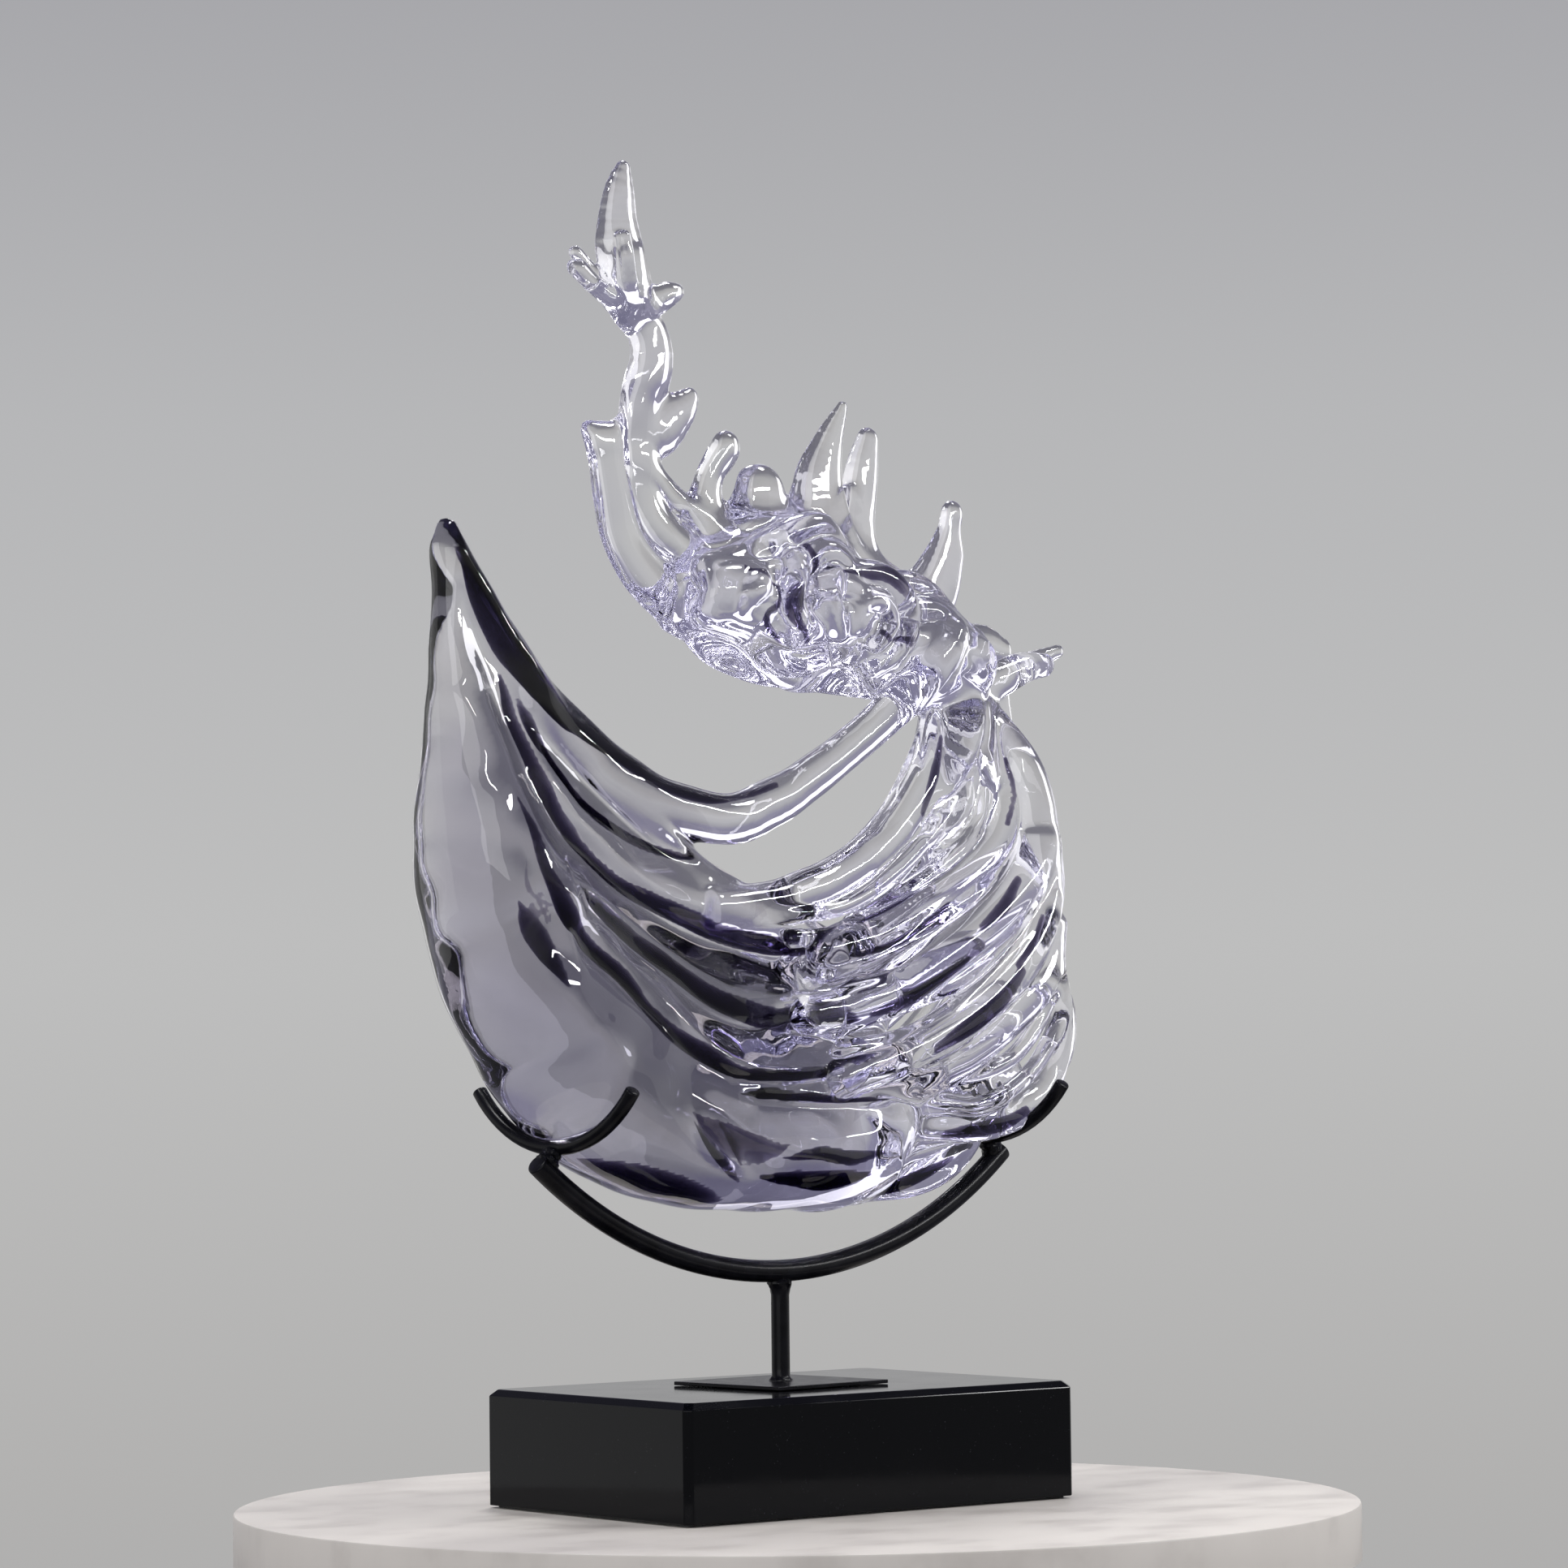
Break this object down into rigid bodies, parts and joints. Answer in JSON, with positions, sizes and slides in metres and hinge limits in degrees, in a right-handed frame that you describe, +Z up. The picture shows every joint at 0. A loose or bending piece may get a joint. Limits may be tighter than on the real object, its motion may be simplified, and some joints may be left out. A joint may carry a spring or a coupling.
{
  "type": "resin wave sculpture",
  "caption": "Free-form smoke-grey to clear cast resin wave that lifts out of a black steel cradle stand on a chamfered black stone plinth.",
  "frame": {"origin": "centre of the plinth's footprint, on the surface it stands on", "axes": "+Z up, +X along the plinth's long side; the stand and the wave are turned 5.6 degrees about Z, anticlockwise from above"},
  "size_m": [0.4698, 0.181, 0.7209],
  "materials": {
    "stone": "polished black",
    "felt": "black felt",
    "zinc": "zinc plated",
    "black_steel": "satin black paint",
    "smoke_resin": "polished transparent smoke grey",
    "clear_resin": "polished clear"
  },
  "bodies": {
    "stand": {"plinth": "stone", "base_felt": "felt", "washer": "zinc", "fixing_screw": "zinc", "mounting_plate": "black_steel", "post": "black_steel", "bow": "black_steel", "left_cradle": "black_steel", "left_stub": "black_steel", "right_cradle": "black_steel", "right_stub": "black_steel"},
    "sculpture": {"wave_blade": "smoke_resin", "crest": "clear_resin", "splash_front": "clear_resin", "splash_rear": "clear_resin", "upper_ribbon": "clear_resin", "middle_ribbon": "clear_resin", "lower_ribbon": "clear_resin", "inner_ribbon": "clear_resin", "side_loop": "clear_resin", "tail_lobe": "clear_resin", "left_leaf": "clear_resin", "spout_stem": "clear_resin", "spout_drop": "clear_resin", "spout_left_finger": "clear_resin", "spout_middle_finger": "clear_resin", "spout_right_finger": "clear_resin", "stem_leaf": "clear_resin", "stem_bridge": "clear_resin", "hook_finger": "clear_resin", "round_finger": "clear_resin", "pointed_finger": "clear_resin", "twin_finger": "clear_resin", "tall_finger": "clear_resin", "side_leaf": "clear_resin", "right_finger": "clear_resin", "thin_finger": "clear_resin"}
  },
  "joints": [
    {"name": "sculpture_lift", "type": "slide", "parent": "stand", "child": "sculpture", "axis": [0, 0, 1], "range_m": [0, 0.09]}
  ]
}
